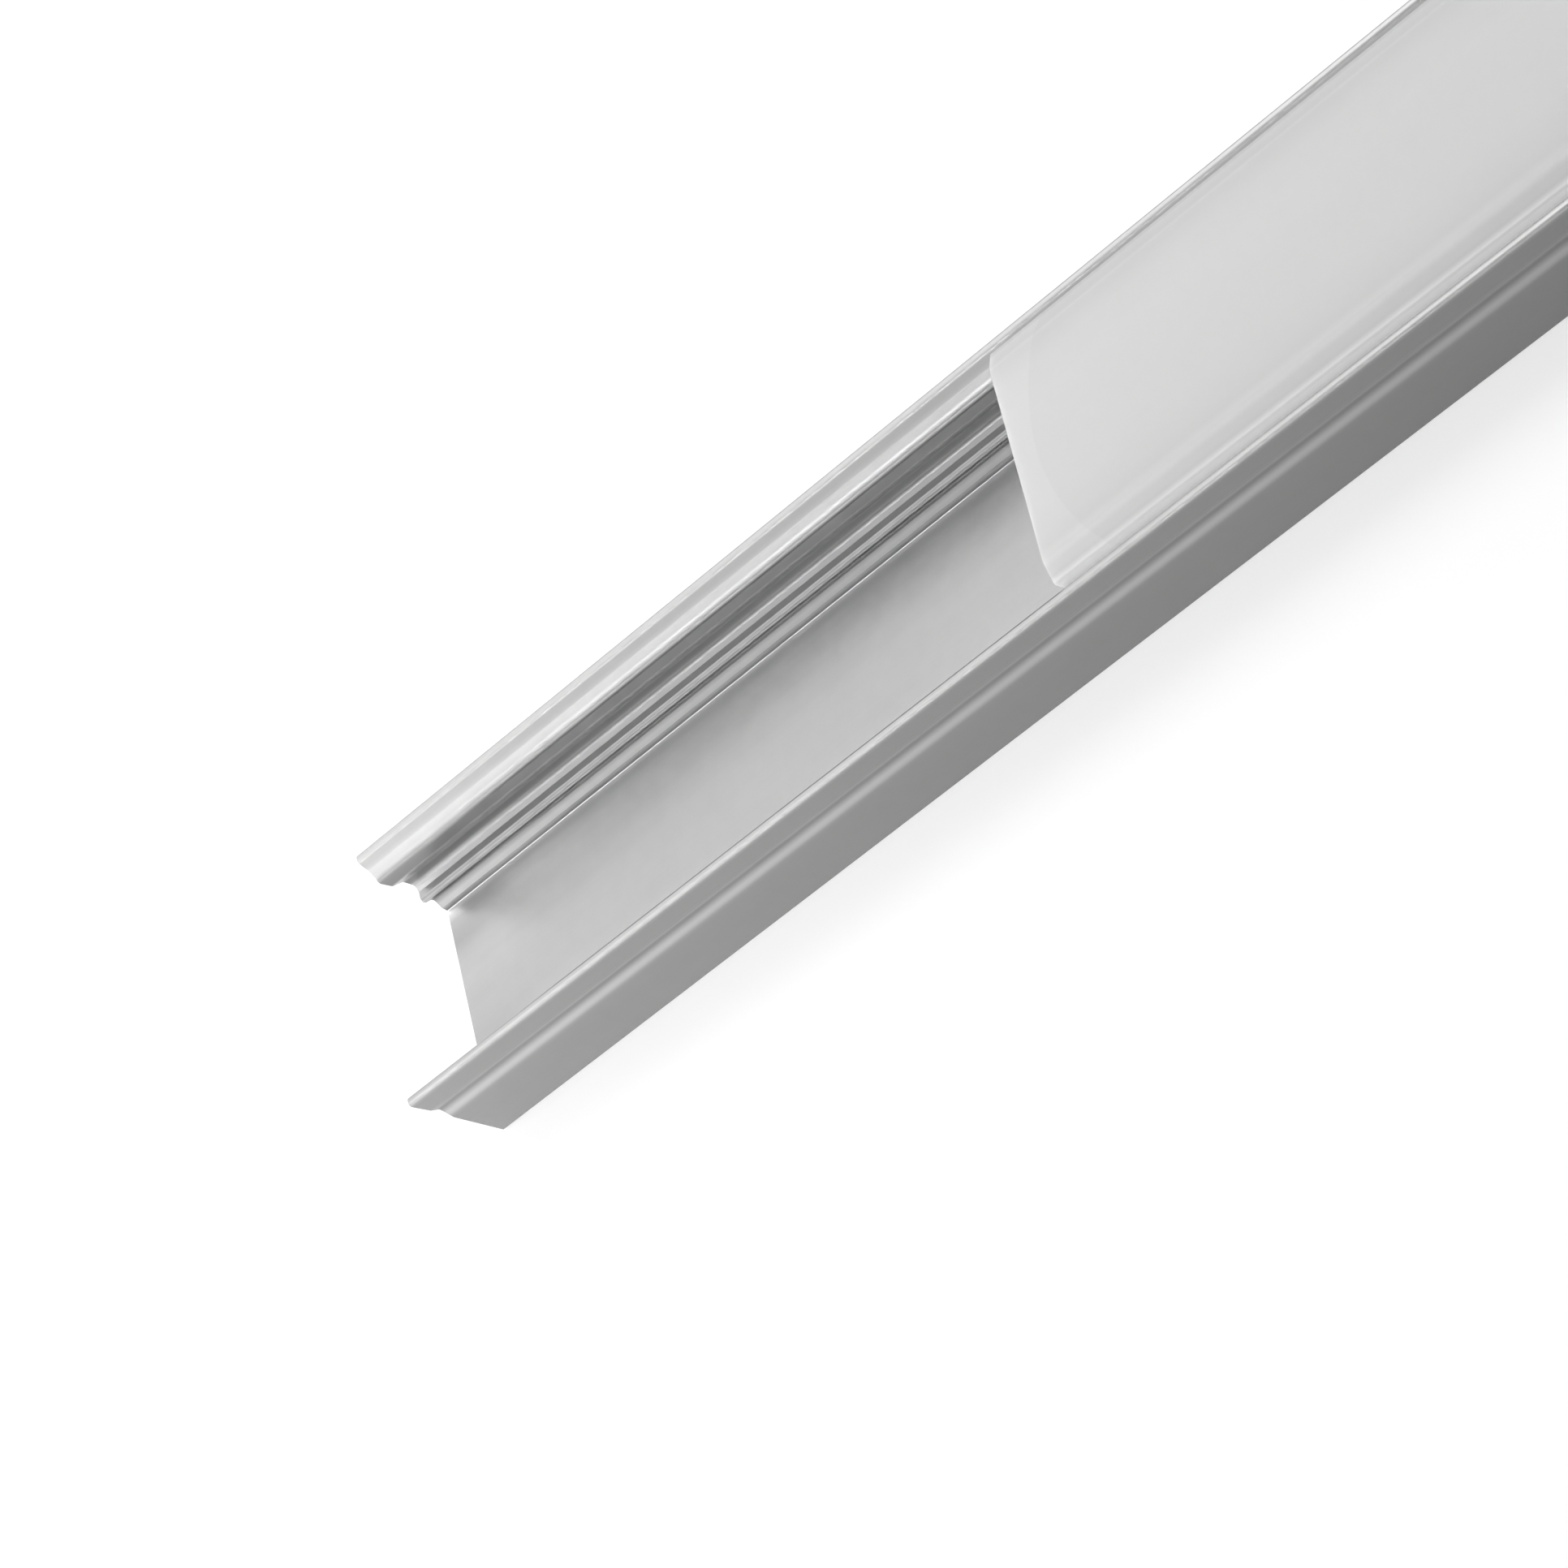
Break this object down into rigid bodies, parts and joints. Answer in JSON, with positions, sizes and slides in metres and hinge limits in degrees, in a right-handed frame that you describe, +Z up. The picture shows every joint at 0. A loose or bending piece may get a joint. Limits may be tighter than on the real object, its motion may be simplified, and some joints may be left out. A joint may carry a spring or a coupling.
{
  "type": "led strip channel",
  "caption": "Low U-shaped aluminium extrusion that holds an LED strip, with a frosted diffuser cover that slides and snaps between its lips.",
  "frame": {"origin": "on the channel's flat underside, at its mid length and on its centre line", "axes": "+X along the channel, the way the cover is drawn back; +Z up, out of the underside towards the open side; +Y across"},
  "size_m": [0.2559, 0.0174, 0.0081],
  "materials": {
    "anodised_aluminium": "satin silver anodised, with fine die lines along the length",
    "frosted_plastic": "frosted translucent pale grey-white"
  },
  "bodies": {
    "channel": {"channel": "anodised_aluminium"},
    "cover": {"diffuser_cover": "frosted_plastic"}
  },
  "joints": [
    {"name": "cover_slide", "type": "slide", "parent": "channel", "child": "cover", "axis": [1, 0, 0], "range_m": [-0.0559, 0.1441]}
  ]
}
